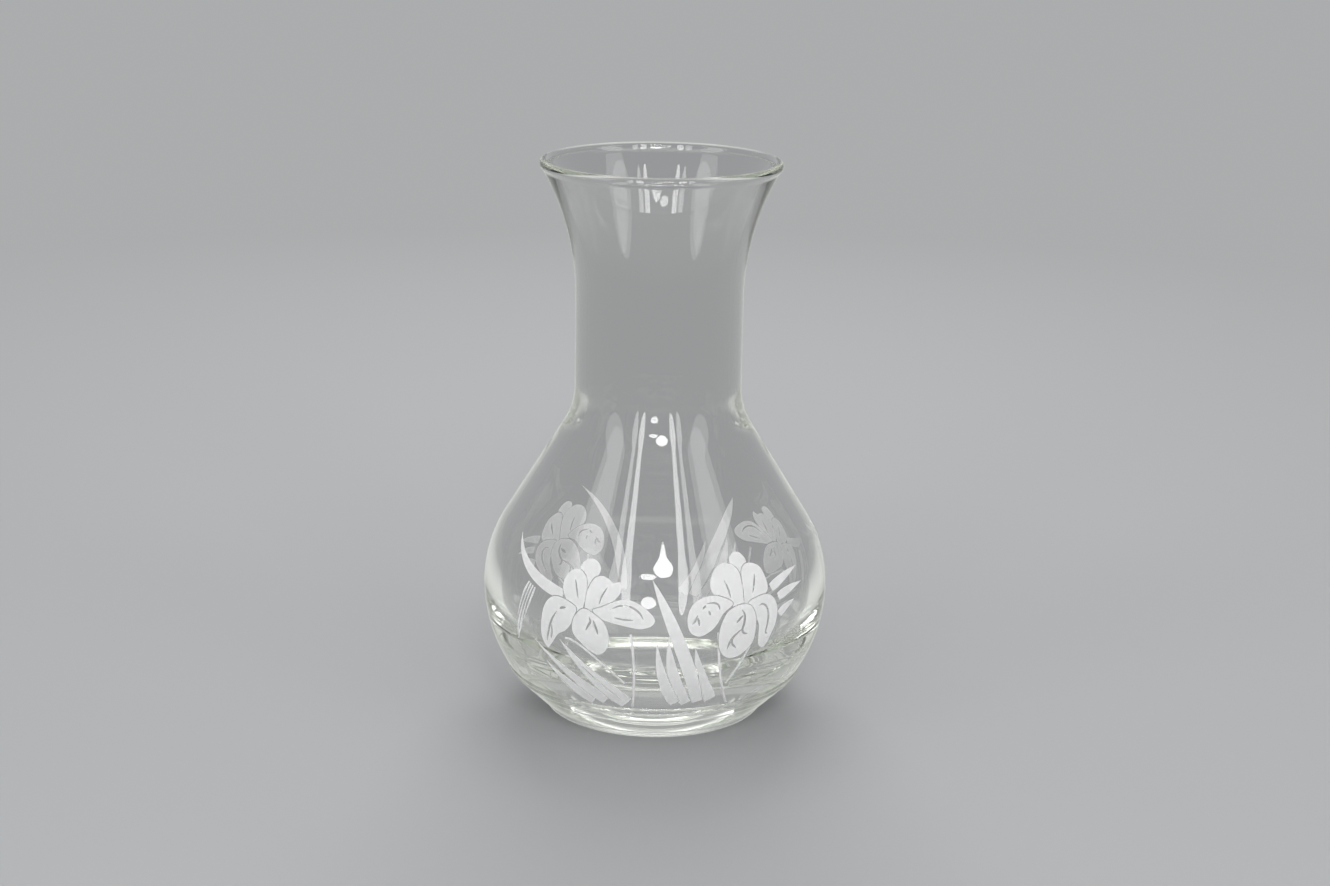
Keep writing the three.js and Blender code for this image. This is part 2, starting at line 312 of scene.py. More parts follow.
# %% Finish of the glass
GLASS_IOR = 1.5
GLASS_TINT = (0.90, 0.94, 0.82, 1)
GLASS_DENSITY = 4
GLASS_SURFACE = (1, 1, 1, 1)
SKIN_SCALE = 90
SKIN_DETAIL = 2
SKIN_STRENGTH = 0.012


def add_node(owner, kind, **values):
    """A node of that kind in a material or a world, with its input sockets set by name."""
    node = owner.node_tree.nodes.new(kind)
    for socket, value in values.items():
        node.inputs[socket.replace("_", " ")].default_value = value
    return node


def new_material(name):
    """A material with its shader and its output node."""
    material = bpy.data.materials.new(name)
    material.use_nodes = True
    nodes = material.node_tree.nodes
    return material, nodes["Principled BSDF"], nodes["Material Output"]


def clear_glass():
    """Clear glass with a green that grows with its thickness."""
    material, shader, output = new_material("clear_glass")
    link = material.node_tree.links.new
    shader.inputs["Base Color"].default_value = GLASS_SURFACE
    shader.inputs["Roughness"].default_value = 0
    shader.inputs["IOR"].default_value = GLASS_IOR
    shader.inputs["Transmission Weight"].default_value = 1
    place = add_node(material, "ShaderNodeTexCoord")
    skin = add_node(material, "ShaderNodeTexNoise", Scale=SKIN_SCALE, Detail=SKIN_DETAIL)
    bump = add_node(material, "ShaderNodeBump", Strength=SKIN_STRENGTH, Distance=MM)
    link(place.outputs["Object"], skin.inputs["Vector"])
    link(skin.outputs["Fac"], bump.inputs["Height"])
    link(bump.outputs["Normal"], shader.inputs["Normal"])
    depth = add_node(material, "ShaderNodeVolumeAbsorption", Color=GLASS_TINT,
                     Density=GLASS_DENSITY)
    link(depth.outputs["Volume"], output.inputs["Volume"])
    return material


blown_glass.data.materials.append(clear_glass())
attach(blown_glass, "root")
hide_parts("glass_vessel")
print("the glass is finished in", blown_glass.data.materials[0].name)

# %% [markdown]
# ## Where the frost lies
# The ornament is drawn flat and wrapped on the belly, as a transfer is. Across is measured round
# the widest ring, and up is measured along the glass from that ring, so the drawing keeps its size
# where the belly curves away. A lift then raises a point off the glass.

# %% From the flat drawing to the glass
carrier = joined(below_belly(0, FOOT_HEIGHT + FOOT_STEP, BELLY_HEIGHT), outer_wall)
climb = np.concatenate([[0], np.cumsum(np.linalg.norm(np.diff(carrier, axis=0), axis=1))])
climb -= climb[np.argmax(carrier[:, 0])]
steepness = np.gradient(carrier, climb, axis=0)


def on_glass(across, up, turn, lift):
    """The place on the vase of a flat point, turned round the axis and raised off the glass."""
    radius = np.interp(up, climb, carrier[:, 0]) + lift * np.interp(up, climb, steepness[:, 1])
    height = np.interp(up, climb, carrier[:, 1]) - lift * np.interp(up, climb, steepness[:, 0])
    angle = across / BELLY_RADIUS + turn
    return (radius * math.sin(angle) * MM, -radius * math.cos(angle) * MM, height * MM)


lowest, highest = np.round(climb[[0, -1]], 1)
print("the drawing may climb from", lowest, "to", highest, "mm")

# %% [markdown]
# ## Petals
# An iris has three falls, which hang, and three standards, which stand. Each petal is drawn as a
# closed curve through a few points, and the ones in front come first. What lies behind is cut away
# later, with a clear line between, as on the vase. Points are (across, up) in millimetres.

# %% Petals of the left iris and of the right iris
PETALS = {
    "left_iris_middle_fall": [
        (-23.6, 7.6), (-26.2, 5.4), (-27.5, 2), (-27, -1.4), (-24.4, -4), (-21.6, -6.2),
        (-18.4, -7.6), (-15.6, -5.6), (-14.6, -2), (-15.2, 1.6), (-17, 4.4), (-20.2, 6.4)],
    "left_iris_outer_fall": [
        (-26.4, 7.4), (-30, 9.2), (-34.4, 9.9), (-37.4, 8.3), (-39.1, 5), (-39.8, 0), (-39.7, -5),
        (-37.6, -8.4), (-35.4, -6.2), (-33, -2.8), (-30, -0.8), (-28, 1.8), (-27, 4.6)],
    "left_iris_inner_fall": [
        (-20.4, 7.4), (-17.4, 5), (-13.6, 4), (-9, 3.2), (-4.4, 2.6), (-0.8, 3.6), (0.4, 5.8),
        (-1.8, 8.6), (-5.4, 11), (-9.6, 12), (-13.6, 10.8), (-17.6, 8.8)],
    "left_iris_inner_standard": [
        (-22.6, 5.6), (-17.6, 7.4), (-13.6, 11.2), (-11.4, 14), (-11.7, 17.4), (-14.2, 17),
        (-15.8, 18.1), (-18.4, 18.9), (-21, 17.8), (-22.7, 14.4), (-23.2, 10)],
    "left_iris_outer_standard": [
        (-25, 5.6), (-23.6, 9.6), (-23.3, 14.6), (-24.6, 18.4), (-27.8, 20), (-31, 18.4),
        (-32.4, 15), (-31.6, 11.6), (-28.8, 8)],
    "left_iris_middle_standard": [
        (-23.2, 10), (-20, 18), (-19.4, 21.6), (-22.2, 24), (-25.4, 23.4), (-27, 20.4),
        (-25.6, 16)],
    "right_iris_middle_fall": [
        (33.6, 8), (35.4, 4.4), (35.4, 0), (34.6, -4.2), (32.4, -6.9), (29.4, -8.7), (26, -9.1),
        (23.2, -7.3), (21.8, -4), (21.8, 0), (22.8, 3.6), (25.2, 7.2), (29.4, 8.8)],
    "right_iris_outer_fall": [
        (33, 8.6), (36.4, 10.2), (40, 10.6), (43, 9.4), (44.7, 6.4), (44.6, 2.8), (43.6, -0.6),
        (42, -3.4), (40.6, -6), (38.6, -7.5), (36.9, -5.7), (36.7, -2.6), (36.4, 2)],
    "right_iris_inner_fall": [
        (27, 9.6), (23.4, 6.8), (21, 3.4), (18.6, 1.2), (15.4, -0.2), (12.6, 0.8), (11.2, 3.4),
        (11.2, 6.8), (12.6, 10), (15.6, 12.2), (19.6, 12.9), (23.6, 12)],
    "right_iris_inner_standard": [
        (30.6, 6.8), (31.1, 11), (31.2, 15.6), (30.8, 19.6), (28.8, 22), (25.6, 23), (22, 21.6),
        (19.8, 18.4), (19.6, 14.6), (22.6, 11), (27, 8.6)],
    "right_iris_outer_standard": [
        (31.2, 7.4), (36.2, 9), (40.2, 10.8), (41.7, 13), (41.3, 16.4), (40, 19.8), (37.2, 21.5),
        (34.2, 21.7), (32, 19.8), (31.4, 15.6), (31, 11)],
    "right_iris_middle_standard": [
        (31.3, 14), (33.6, 19), (34.8, 22.8), (33, 25.7), (30.2, 26), (28, 23.8), (29, 19)],
}
print(len(PETALS), "petals in a spray")

# %% [markdown]
# ## Veins
# The frost leaves fine branching veins clear. A vein could be a dark line in the material, but on
# the vase it is bare glass, so it is cut out of its petal. Each vein is a half-width and the points
# that it runs through, and it narrows to both its ends.

# %% Veins of the petals
VEINS = {
    "left_iris_middle_fall": [
        (0.42, [(-21.6, 5.2), (-21, 3.7), (-21.7, 2.2), (-22.6, 0.4)]),
        (0.40, [(-20, 4.2), (-19, 1.8), (-18.3, -0.4)]),
    ],
    "left_iris_outer_fall": [
        (0.42, [(-33.5, 5.1), (-35, 2.7), (-36, 0.2), (-37, -3.6), (-37.5, -6.2)]),
        (0.34, [(-35.4, 0.2), (-35.3, -2.6), (-35.9, -5)]),
        (0.42, [(-32.6, 6.1), (-31.6, 6.6), (-30.2, 6.9)]),
    ],
    "left_iris_inner_fall": [
        (0.34, [(-14.4, 8.4), (-11, 9.9), (-7.4, 9.6), (-4.6, 7.8), (-3.4, 5.8)]),
        (0.30, [(-13, 5.8), (-9.6, 5.4), (-6.6, 5.4)]),
    ],
    "left_iris_inner_standard": [(0.32, [(-18.4, 9.6), (-17.6, 12.4), (-16, 15.4)])],
    "left_iris_outer_standard": [(0.32, [(-26, 10.6), (-27, 13.6), (-28, 16.6)])],
    "right_iris_middle_fall": [
        (0.46, [(30.2, 7.2), (31.2, 5.2), (30.9, 2.5), (30.2, 0.4), (30.9, -0.9), (32.2, -1.2)]),
        (0.40, [(30.6, 5.2), (29.2, 4.1), (28, 3)]),
        (0.46, [(30.2, 0.8), (27.9, -0.8), (26.6, -2.1), (25.6, -3.6), (24.8, -5.8)]),
        (0.40, [(26.7, -1.9), (26.6, -3.9), (28.2, -5.8)]),
    ],
    "right_iris_outer_fall": [
        (0.42, [(36.8, 7.4), (38.6, 7.6), (40.2, 6.3), (40.7, 3.6), (40.3, 0.6), (39.6, -2.2),
                (40.6, -2.8)]),
    ],
    "right_iris_inner_fall": [
        (0.36, [(17.6, 10.6), (20.4, 10.5), (21.8, 9.6), (22.2, 8)]),
        (0.40, [(14.5, 6.9), (13.8, 5.4), (12.7, 4)]),
        (0.40, [(14.3, 6.3), (14.8, 5), (15, 3.4)]),
        (0.36, [(17.4, 10), (16.2, 8.8)]),
        (0.36, [(18.3, 8.2), (18.8, 6.6)]),
    ],
    "right_iris_inner_standard": [(0.32, [(26.4, 11.4), (25.8, 14.4), (24.6, 17.6)])],
    "right_iris_outer_standard": [(0.32, [(35, 12), (36.2, 15), (37, 18)])],
}
print(sum(len(veins) for veins in VEINS.values()), "veins in a spray")

# %% [markdown]
# ## Leaves, stems and grass
# A sword leaf, a stem and a line of grass are strokes: a curved spine from root to tip with a
# half-width along it. Each is a root, a bend, a tip and a half-width, and for a leaf its fullness.
# A leaf comes to a point, and the fuller it is, the longer it stays broad; a stem keeps its width.
# The half-widths are worked out by formula, because a hand-drawn edge would wobble. Ribs of bare
# glass part some leaves: each is a half-width, a distance beside the spine, and the shares of it
# where it runs.

# %% Leaves and stems of a spray
BLADES = {
    "long_blade": [(16.6, -26.4), (8.6, 0), (-0.5, 18.5), 2.3, 4],
    "middle_blade_1": [(8.2, -26.6), (2.1, -16.8), (1.2, -2), 2.1, 2.4],
    "middle_blade_2": [(12.4, -26.8), (5.4, -15.2), (5, -1), 2.2, 3],
    "middle_blade_3": [(21.6, -25.8), (16, -17), (13.8, -4), 2.5, 2.2],
    "left_blade_1": [(-9.6, -27), (-21.6, -16.6), (-32.3, -4.4), 3.4, 1.5],
    "left_blade_2": [(-17.6, -26.8), (-29.5, -17), (-43, -7), 2.5, 1.3],
    "left_blade_3": [(-22.4, -27.6), (-31.5, -22), (-38.8, -14), 2.4, 1.8],
    "right_blade_1": [(45.6, 2.8), (49, 5), (53.6, 6), 1.4, 2.2],
    "right_blade_2": [(45.8, 8.6), (51.5, 10.4), (59, 10.8), 1.5, 2.2],
    "right_blade_3": [(43, 12.2), (50, 15), (58, 16.4), 1.6, 2.2],
    "far_left_blade": [(-31.8, 10.8), (-51, 14.2), (-60.5, 26), 2, 2.2],
    "far_left_grass": [(-45.6, 11.4), (-48.8, 3), (-51.8, -9), 2.4, 2.4],
}
STEMS = {
    "left_stem": [(-7.6, -29), (-5.2, -12), (-7.4, 0.6), 0.4],
    "right_stem": [(29.2, -29), (21.7, -16.7), (21.6, 0.6), 0.4],
    "left_grass": [(-9.6, -17.9), (-25.5, -2), (-30.2, -3.6), 0.36],
    "right_grass": [(26.1, -19.3), (31.4, -10.2), (35.1, -2.7), 0.36],
}
RIBS = {
    "left_blade_1": [(0.26, 0, 0.06, 0.7)],
    "far_left_grass": [(0.4, -1.3, -0.1, 0.8), (0.4, 0, -0.1, 0.9), (0.4, 1.3, -0.1, 0.8)],
}
RIB_STEPS = 6
TIP_HALF = 0.1
ROOT_SHARE = 0.85
STROKE_STEPS = 30


def blade_share(t, fullness):
    """Share of a leaf's half-width along its spine."""
    return np.minimum(1, ROOT_SHARE + t) * (1 - t ** fullness)


def spine_points(root, bend, tip, shares):
    """Points on a stroke's spine."""
    root, bend, tip = (np.array(p, float) for p in (root, bend, tip))
    t = shares[:, None]
    return (1 - t) ** 2 * root + 2 * t * (1 - t) * bend + t ** 2 * tip


print(len(BLADES), "leaves and", len(STEMS), "stems and lines of grass in a spray")

# %% [markdown]
# ## Closed outlines
# Petals, leaves and veins all have to become closed outlines before they can be filled. A petal's
# outline is a smooth curve through its points, and a leaf, stem or vein is its middle line widened
# to both sides.

# %% Curves and widened lines
CURVE_STEPS = 6
VEIN_END = 0.5


def smooth(points, closed):
    """A smooth curve through points, parallel at each to the line between its neighbours."""
    points = np.array(points, float)
    before = points[-1:] if closed else 2 * points[:1] - points[1:2]
    after = points[:2] if closed else 2 * points[-1:] - points[-2:-1]
    run = np.vstack([before, points, after])
    t = np.linspace(0, 1, CURVE_STEPS, endpoint=False)[:, None]
    spans = []
    for a, b, c, d in zip(run, run[1:], run[2:], run[3:]):
        leaving = (c - a) / 2
        arriving = (d - b) / 2
        bow = 3 * (c - b) - 2 * leaving - arriving
        twist = leaving + arriving - 2 * (c - b)
        spans.append(b + t * leaving + t ** 2 * bow + t ** 3 * twist)
    return np.vstack(spans if closed else [*spans, points[-1:]])


def widened(middle, halves):
    """The closed outline of a line with a half-width at each of its points."""
    ahead = np.gradient(middle, axis=0)
    ahead /= np.linalg.norm(ahead, axis=1)[:, None]
    beside = np.column_stack([ahead[:, 1], -ahead[:, 0]]) * np.reshape(halves, (-1, 1))
    return np.vstack([middle + beside, (middle - beside)[::-1]])


def vein_outline(half, points):
    """The closed outline of a vein."""
    middle = smooth(points, closed=False)
    shares = np.linspace(0, 1, len(middle))
    return widened(middle, np.maximum(half * np.sin(math.pi * shares) ** VEIN_END, TIP_HALF))


def stroke_outline(root, bend, tip, half, fullness=None):
    """The closed outline of a leaf, or of a stem, which has no fullness."""
    t = (1 - np.cos(np.linspace(0, math.pi, STROKE_STEPS + 1))) / 2
    share = blade_share(t, fullness) if fullness else np.ones_like(t)
    return widened(spine_points(root, bend, tip, t), np.maximum(half * share, TIP_HALF))


def rib_outline(stroke, half, beside, start, end):
    """The closed outline of a clear rib in a leaf, along or beside a stretch of its spine."""
    middle = spine_points(*stroke[:3], np.linspace(start, end, RIB_STEPS))
    return vein_outline(half, middle + (beside, 0))


print("the long blade has", len(stroke_outline(*BLADES["long_blade"])), "points round it")


# %% [markdown]
# ## Two sprays, drawn from front to back
# The spray at the back has the same flowers and leaves as the front one, spread wider and hung
# lower, with one blade more in the gap that this leaves. So strokes whose names start alike are
# moved together there. The strokes of a spray are listed from front to back, and each is cut by all
# that lie in front of it, with a clear line of bare glass between, so no two patches of frost share
# the same place.

# %% Outlines of a spray with what cuts them
CLEAR_LINE = 0.32
BACK_MOVES = {
    "right_stem": (6, -2),
    "right": (10, -9),
    "middle": (-34, 0),
    "long": (-34, 0),
    "left": (-33, -2.5),
    "far_left": (-33, -2.5),
}
LONE_BLADE = {"lone_blade": [(14.5, -24), (11.5, 3), (36, 24), 2, 2.2]}
SPRAYS = {
    "front": dict(turn=0, moves={}, blades=BLADES),
    "back": dict(turn=math.pi, moves=BACK_MOVES, blades={**BLADES, **LONE_BLADE}),
}


def turned_left(loop):
    """The same closed outline, running anticlockwise."""
    ahead = np.roll(loop, -1, axis=0)
    area = np.sum(loop[:, 0] * ahead[:, 1] - ahead[:, 0] * loop[:, 1])
    return loop if area > 0 else loop[::-1]


def grown(loop, distance):
    """A closed anticlockwise outline, moved outwards by a distance."""
    ahead = np.roll(loop, -1, axis=0) - np.roll(loop, 1, axis=0)
    ahead /= np.linalg.norm(ahead, axis=1)[:, None]
    return loop + distance * np.column_stack([ahead[:, 1], -ahead[:, 0]])


def meet(loop, other):
    """Whether the boxes of two outlines meet."""
    below = np.all(loop.min(axis=0) < other.max(axis=0))
    above = np.all(other.min(axis=0) < loop.max(axis=0))
    return below and above


def drawn_strokes(blades):
    """Name, outline and veins of every stroke of a spray, from front to back."""
    for name, points in PETALS.items():
        veins = [vein_outline(*vein) for vein in VEINS.get(name, [])]
        yield name, smooth(points, closed=True), veins
    for name, stroke in {**STEMS, **blades}.items():
        ribs = [rib_outline(stroke, *rib) for rib in RIBS.get(name, [])]
        yield name, stroke_outline(*stroke), ribs


def spray_strokes(moves, blades):
    """Name, outline and cuts of every stroke of a spray."""
    in_front = []
    for name, loop, veins in drawn_strokes(blades):
        move = next((way for start, way in moves.items() if name.startswith(start)), (0, 0))
        loop = turned_left(loop + move)
        hiding = [cut for cut in in_front if meet(cut, loop)]
        yield name, loop, [vein + move for vein in veins] + hiding
        in_front.append(grown(loop, CLEAR_LINE))


for spray, plan in SPRAYS.items():
    print(spray, "spray has", len(list(drawn_strokes(plan["blades"]))), "strokes")

# %% [markdown]
# ## A patch of frost
# Each stroke becomes a thin closed slab on the glass. Filling its outline with one large face would
# leave a flat plate on a round belly, so the outline, its cuts and a net of points inside go
# through a Delaunay triangulation, the triangles that fall in a cut are dropped, and the rest is
# wrapped on the glass twice: once just off the wall for the back and once a little higher for the
# face.

# %% Fill, wrap and close a patch
FROST_BACK = 0.03
FROST_FACE = 0.13
NET_STEP = 1.6
SHARP_ANGLE = math.radians(40)
CLOSE = 1e-4


def within(points, loop):
    """For each point, whether it lies inside a closed outline."""
    found = np.zeros(len(points), bool)
    for (x0, y0), (x1, y1) in zip(loop, np.roll(loop, -1, axis=0)):
        if y0 != y1:
            spans = (points[:, 1] > y0) != (points[:, 1] > y1)
            found ^= spans & (points[:, 0] < x0 + (points[:, 1] - y0) * (x1 - x0) / (y1 - y0))
    return found


def net_inside(loop):
    """Points of a square net inside a closed outline."""
    ends = zip(loop.min(axis=0), loop.max(axis=0))
    sides = [np.arange(low, high, NET_STEP) for low, high in ends]
    net = np.stack(np.meshgrid(*sides), -1).reshape(-1, 2)
    return net[within(net, loop)]


def fill(loop, cuts):
    """Flat points and triangles of a stroke without its cuts."""
    edges = []
    count = 0
    for ring in (loop, *cuts):
        edges += [(count + i, count + (i + 1) % len(ring)) for i in range(len(ring))]
        count += len(ring)
    places = [Vector(p) for p in np.vstack([loop, *cuts, net_inside(loop)])]
    points, _, triangles, *_ = delaunay_2d_cdt(places, edges, [], 0, CLOSE)
    points, triangles = np.array([tuple(p) for p in points]), np.array(triangles)
    middles = points[triangles].mean(axis=1)
    kept = within(middles, loop)
    for cut in cuts:
        kept &= ~within(middles, cut)
    used, triangles = np.unique(triangles[kept], return_inverse=True)
    return points[used], triangles.reshape(-1, 3).tolist()


def frost_patch(name, points, triangles, turn):
    """A closed slab of frost on the glass."""
    count = len(points)
    vertices = [on_glass(x, y, turn, lift) for lift in (FROST_BACK, FROST_FACE) for x, y in points]
    directed = {(t[i], t[(i + 1) % 3]) for t in triangles for i in range(3)}
    border = [(a, b) for a, b in sorted(directed) if (b, a) not in directed]
    faces = [tuple(i + count for i in t) for t in triangles] + [tuple(t[::-1]) for t in triangles]
    faces += [(a, b, b + count, a + count) for a, b in border]
    patch = new_piece(name, vertices, faces)
    edge = {a for a, _ in border}
    rim = patch.data.attributes.new("rim", "FLOAT", "POINT")
    rim.data.foreach_set("value", [float(i % count in edge) for i in range(2 * count)])
    patch.data.shade_smooth()
    patch.data.set_sharp_from_angle(angle=SHARP_ANGLE)
    return patch


print("frost is", round(FROST_FACE - FROST_BACK, 2), "mm thick and", FROST_BACK, "mm off the glass")


# %% [markdown]
# ## White frost
# Frost scatters the light that falls on it and lets part of it through, so it is pale from both
# sides, also where the back spray shows through the glass. A plain matt white would be dark from
# behind, so the light is let wander under the surface for a few times the frost's thickness. The
# further it may wander, the more of it goes through, and the more the front looks like a grey veil.
# The grain shows as a fine mottle in its colour and roughness and as a fine bump, and the frost is
# whitest along its rim.

# %% Finish of the frost
FROST_DARK = (0.82, 0.82, 0.82, 1)
FROST_LIGHT = (0.90, 0.90, 0.90, 1)
FROST_RIM = (0.96, 0.96, 0.96, 1)
FROST_DEPTH = 0.6 * MM
EVEN_COLOURS = (1, 1, 1)
FROST_ROUGHNESS = (0.6, 0.85)
MOTTLE_SCALE = 260
MOTTLE_DETAIL = 4
MOTTLE_ROUGHNESS = 0.6
GRAIN_SCALE = 2400
GRAIN_DETAIL = 2
GRAIN_STRENGTH = 0.25
GRAIN_HEIGHT = 0.05 * MM


def white_frost():
    """A matt white layer with a fine mottle."""
    material, shader, _ = new_material("white_frost")
    link = material.node_tree.links.new
    shader.inputs["Subsurface Weight"].default_value = 1
    shader.inputs["Subsurface Radius"].default_value = EVEN_COLOURS
    shader.inputs["Subsurface Scale"].default_value = FROST_DEPTH
    shader.inputs["IOR"].default_value = GLASS_IOR
    place = add_node(material, "ShaderNodeTexCoord")
    mottle = add_node(material, "ShaderNodeTexNoise", Scale=MOTTLE_SCALE, Detail=MOTTLE_DETAIL,
                      Roughness=MOTTLE_ROUGHNESS)
    grain = add_node(material, "ShaderNodeTexNoise", Scale=GRAIN_SCALE, Detail=GRAIN_DETAIL)
    colour = add_node(material, "ShaderNodeValToRGB")
    colour.color_ramp.elements[0].color = FROST_DARK
    colour.color_ramp.elements[1].color = FROST_LIGHT
    rim = add_node(material, "ShaderNodeAttribute")
    rim.attribute_name = "rim"
    whiter = add_node(material, "ShaderNodeMixRGB", Color2=FROST_RIM)
    smoothest, roughest = FROST_ROUGHNESS
    rough = add_node(material, "ShaderNodeMapRange", To_Min=smoothest, To_Max=roughest)
    bump = add_node(material, "ShaderNodeBump", Strength=GRAIN_STRENGTH, Distance=GRAIN_HEIGHT)
    for texture in (mottle, grain):
        link(place.outputs["Object"], texture.inputs["Vector"])
    link(mottle.outputs["Fac"], colour.inputs["Fac"])
    link(rim.outputs["Fac"], whiter.inputs["Fac"])
    link(colour.outputs["Color"], whiter.inputs["Color1"])
    link(whiter.outputs["Color"], shader.inputs["Base Color"])
    link(mottle.outputs["Fac"], rough.inputs["Value"])
    link(rough.outputs["Result"], shader.inputs["Roughness"])
    link(grain.outputs["Fac"], bump.inputs["Height"])
    link(bump.outputs["Normal"], shader.inputs["Normal"])
    return material


frost_finish = white_frost()
print("the frost is finished in", frost_finish.name)

# %% [markdown]
# ## Patches of both sprays
# Every stroke of the front spray and of the back one is filled and wrapped on the glass. Each patch
# stands for the node of the same name.

# %% Make every patch
patches = []
for spray, plan in SPRAYS.items():
    for stroke_name, loop, cuts in spray_strokes(plan["moves"], plan["blades"]):
        node = f"{spray}_{stroke_name}"
        patch = frost_patch(f"frost_{node}", *fill(loop, cuts), plan["turn"])
        patch.data.materials.append(frost_finish)
        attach(patch, "root")
        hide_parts(node)
        patches.append(patch)
print(len(patches), "patches of frost with", sum(len(p.data.polygons) for p in patches), "faces")

# %% [markdown]
# ## Floor
# The vase stands on a plain pale floor, which fades into an even backdrop a little way off and
# keeps the vase's soft shadow near it. Glass shows the floor without that shadow: there the light
# path mixes in a plain glow. Light that crossed solid glass only, in and out of the wall once,
# finds a brighter glowing ring of floor around the foot. This is a painted highlight on the thick
# edges of the belly, standing in for the light they gather in a room. Light that the glass throws
# back finds the whole floor that bright, which paints a highlight along the glass's outline.

# %% Floor
FLOOR_HALF = 6
FLOOR_COLOUR = (0.32, 0.325, 0.33, 1)
FLOOR_ROUGHNESS = 0.75
BACKDROP_GLOW = (0.41, 0.415, 0.42, 1)
BACKDROP_FADE = (0.3, 0.9)
FLOOR_GLOW = (0.30, 0.305, 0.31, 1)
# Brighter glow of the ring round the foot: a painted highlight on the thick edges of the glass.
PAINTED_EDGE_GLOW = (0.66, 0.68, 0.65, 1)
EDGE_START = (0.05, 0.10)
EDGE_END = (0.18, 0.36)
SOLID_CROSSINGS = 2.5
corners = [(-1, -1), (1, -1), (1, 1), (-1, 1)]
floor_points = [(x * FLOOR_HALF, y * FLOOR_HALF, 0) for x, y in corners]
floor = new_piece("floor", floor_points, [(0, 1, 2, 3)])


def combine(owner, operation, first, second):
    """The result of a math node on two values, each a socket or a number."""
    node = add_node(owner, "ShaderNodeMath")
    node.operation = operation
    for socket, value in zip(node.inputs, (first, second)):
        if isinstance(value, (int, float)):
            socket.default_value = value
        else:
            owner.node_tree.links.new(value, socket)
    return node.outputs["Value"]


def ramp(owner, value, span):
    """A rise from 0 to 1 over a span of the value."""
    node = add_node(owner, "ShaderNodeMapRange", From_Min=span[0], From_Max=span[1])
    owner.node_tree.links.new(value, node.inputs["Value"])
    return node.outputs["Result"]


def mixed(owner, share, first, second):
    """A colour between two, each a socket or a colour."""
    node = add_node(owner, "ShaderNodeMixRGB")
    owner.node_tree.links.new(share, node.inputs["Fac"])
    for name, colour in (("Color1", first), ("Color2", second)):
        if isinstance(colour, tuple):
            node.inputs[name].default_value = colour
        else:
            owner.node_tree.links.new(colour, node.inputs[name])
    return node.outputs["Color"]


def pale_floor():
    """A plain floor that is even far off and glows where glass shows it, brighter in a painted
    highlight ring round the foot.
    """
    material, shader, output = new_material("pale_floor")
    link = material.node_tree.links.new
    shader.inputs["Base Color"].default_value = FLOOR_COLOUR
    shader.inputs["Roughness"].default_value = FLOOR_ROUGHNESS
    path = add_node(material, "ShaderNodeLightPath").outputs
    place = add_node(material, "ShaderNodeTexCoord")
    length = add_node(material, "ShaderNodeVectorMath")
    length.operation = "LENGTH"
    link(place.outputs["Object"], length.inputs[0])
    reach = length.outputs["Value"]
    past_start = ramp(material, reach, EDGE_START)
    past_end = ramp(material, reach, EDGE_END)
    ring = combine(material, "SUBTRACT", past_start, past_end)
    # Solid glass and reflections see the ring's brighter glow: a painted highlight on the glass's
    # edges.
    solid = combine(material, "LESS_THAN", path["Transmission Depth"], SOLID_CROSSINGS)
    ring_in_solid = combine(material, "MULTIPLY", solid, ring)
    edge = combine(material, "MAXIMUM", ring_in_solid, path["Is Reflection Ray"])
    in_glass = combine(material, "MAXIMUM", path["Is Transmission Ray"], path["Is Glossy Ray"])
    shown_in_glass = mixed(material, edge, FLOOR_GLOW, PAINTED_EDGE_GLOW)
    glow = add_node(material, "ShaderNodeEmission")
    link(mixed(material, in_glass, BACKDROP_GLOW, shown_in_glass), glow.inputs["Color"])
    mix = add_node(material, "ShaderNodeMixShader")
    far_off = ramp(material, reach, BACKDROP_FADE)
    link(combine(material, "MAXIMUM", in_glass, far_off), mix.inputs["Fac"])
    link(shader.outputs["BSDF"], mix.inputs[1])
    link(glow.outputs["Emission"], mix.inputs[2])
    link(mix.outputs["Shader"], output.inputs["Surface"])
    return material


floor.data.materials.append(pale_floor())
print("floor is", 2 * FLOOR_HALF, "m wide")

# %% [markdown]
# ## Light
# Glass shows what is around it, so the shapes of the lamps matter more than their strength. Two
# pairs of upright strips beside the camera give the belly its long glints, and only the outer pair
# lights the frost. An oval lamp between them gives the pear-shaped glint on the belly, two small
# ones lower down give the round glints below it, a broad one on each side gives the haze on the
# flanks, and one behind lights the back spray. Light that the glass has bent meets only the broad
# ones, because the others would leave stray spots along its edges, and the one behind doesn't show
# in the glass at all.

# %% Lamps
LAMPS = {
    "oval": dict(place=(0.119, -1.03, 0.847), shape="ELLIPSE", size=(0.28, 0.33), power=3.9),
    "low_oval": dict(place=(-0.091, -1.069, 0.697), shape="ELLIPSE", size=(0.22, 0.11), power=0.9),
    "low_round": dict(place=(-0.079, -1.236, 0.267), shape="ELLIPSE", size=(0.21, 0.22), power=1.6),
    "left": dict(place=(-0.95, -0.6, 0.6), shape="ELLIPSE", size=(0.5, 1.1), power=2.4),
    "right": dict(place=(0.95, -0.6, 0.6), shape="ELLIPSE", size=(0.5, 1.1), power=2.4),
    "back": dict(place=(0, 0.95, 0.95), shape="RECTANGLE", size=(0.9, 0.9), power=12),
}
SHOWN_IN_BENT_LIGHT = ("left", "right")
AIM = Vector((0, 0, 0.07))
STRIP_AWAY = 0.95
STRIP_MIDDLE = 0.68
STRIP_AIM = Vector((0, 0, STRIP_MIDDLE))
STRIP_SIZE = (0.13, 1.3)
STRIP_LEAN = math.radians(6)
STRIPS = {"inner": dict(across=0.36, power=3.6), "outer": dict(across=0.54, power=2.0)}


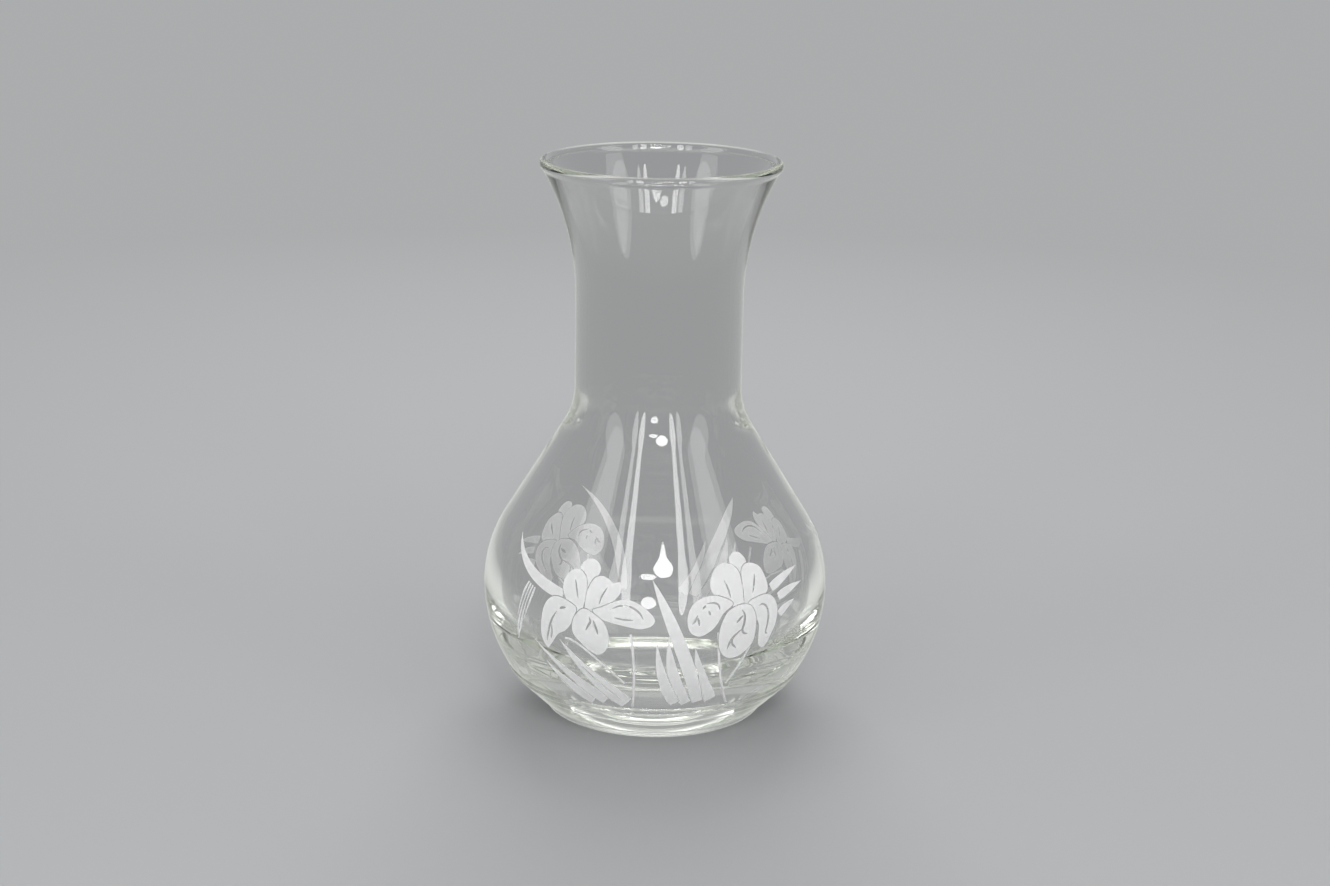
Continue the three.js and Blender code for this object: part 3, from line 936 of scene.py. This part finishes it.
def add_lamp(name, place, shape, size, power, aim=AIM, lean=0):
    """A soft flat lamp that faces a point, and may lean to one side."""
    light = bpy.data.lights.new(name, "AREA")
    light.shape = shape
    light.size, light.size_y = size
    light.energy = power
    lamp = bpy.data.objects.new(name, light)
    lamp.location = place
    facing = (Vector(place) - aim).to_track_quat("Z", "Y")
    lamp.rotation_euler = (facing @ Quaternion((0, 0, 1), lean)).to_euler()
    lamp.visible_camera = False
    bpy.context.collection.objects.link(lamp)
    return lamp


lamps = {name: add_lamp(f"{name}_lamp", **lamp) for name, lamp in LAMPS.items()}
for pair, strip in STRIPS.items():
    for side, way in (("left", -1), ("right", 1)):
        name = f"{pair}_{side}_strip"
        place = (way * strip["across"], -STRIP_AWAY, STRIP_MIDDLE)
        lean = -way * STRIP_LEAN
        lamps[name] = add_lamp(name, place, "ELLIPSE", STRIP_SIZE, strip["power"], STRIP_AIM, lean)
for name, lamp in lamps.items():
    lamp.visible_transmission = name in SHOWN_IN_BENT_LIGHT
    lamp.visible_diffuse = not name.startswith("inner")
lamps["back"].visible_glossy = False
print(len(lamps), "lamps with", round(sum(lamp.data.energy for lamp in lamps.values()), 1), "watts")

# %% [markdown]
# ## Room and light inside the glass
# Light that enters the thick foot runs round in it and leaves only after many reflections. A
# renderer that gives up after a few would leave the foot black, so here it may follow the light
# further. The room that shows in the glass has plain walls, so that the foot stays clear and not
# milky, and a bright ceiling, which the mould rings and the foot's edge gather into thin bright
# lines.

# %% World and light paths
WORLD_COLOUR = (0.56, 0.565, 0.57, 1)
WALLS_IN_GLASS = (0.30, 0.305, 0.31, 1)
CEILING_IN_GLASS = (2.0, 2.0, 2.0, 1)
CEILING_RISE = (0.75, 0.95)
LIGHT_BOUNCES = 40


def pale_room():
    """An even room, which shows plain walls and a bright ceiling to light inside glass."""
    room = bpy.data.worlds.new("pale_room")
    room.use_nodes = True
    link = room.node_tree.links.new
    path = add_node(room, "ShaderNodeLightPath").outputs
    facing = add_node(room, "ShaderNodeTexCoord").outputs["Generated"]
    parts = add_node(room, "ShaderNodeSeparateXYZ")
    link(facing, parts.inputs["Vector"])
    overhead = ramp(room, parts.outputs["Z"], CEILING_RISE)
    in_glass = mixed(room, overhead, WALLS_IN_GLASS, CEILING_IN_GLASS)
    colour = mixed(room, path["Is Transmission Ray"], WORLD_COLOUR, in_glass)
    link(colour, room.node_tree.nodes["Background"].inputs["Color"])
    return room


scene = bpy.context.scene
scene.world = pale_room()
scene.view_settings.view_transform = "Standard"
scene.cycles.max_bounces = LIGHT_BOUNCES
scene.cycles.glossy_bounces = LIGHT_BOUNCES
scene.cycles.transmission_bounces = LIGHT_BOUNCES
print("light may bounce", LIGHT_BOUNCES, "times")

# %% [markdown]
# ## Camera
# The camera stands where the photograph was taken from, a little above the vase, and is rolled by a
# degree as that one was.

# %% Camera
CAMERA_PLACE = (0.00268, -0.80053, 0.3158)
CAMERA_PITCH = math.radians(15.569)
CAMERA_ROLL = math.radians(0.975)
CAMERA_LENS = 66.0
SENSOR_WIDTH = 36
camera_data = bpy.data.cameras.new("camera")
camera_data.lens = CAMERA_LENS
camera_data.sensor_width = SENSOR_WIDTH
camera = bpy.data.objects.new("camera", camera_data)
camera.matrix_world = (Matrix.Translation(CAMERA_PLACE)
                       @ Matrix.Rotation(math.pi / 2 - CAMERA_PITCH, 4, "X")
                       @ Matrix.Rotation(CAMERA_ROLL, 4, "Z"))
bpy.context.collection.objects.link(camera)
scene.camera = camera
print("camera", round(camera.location.length, 3), "m from the foot")
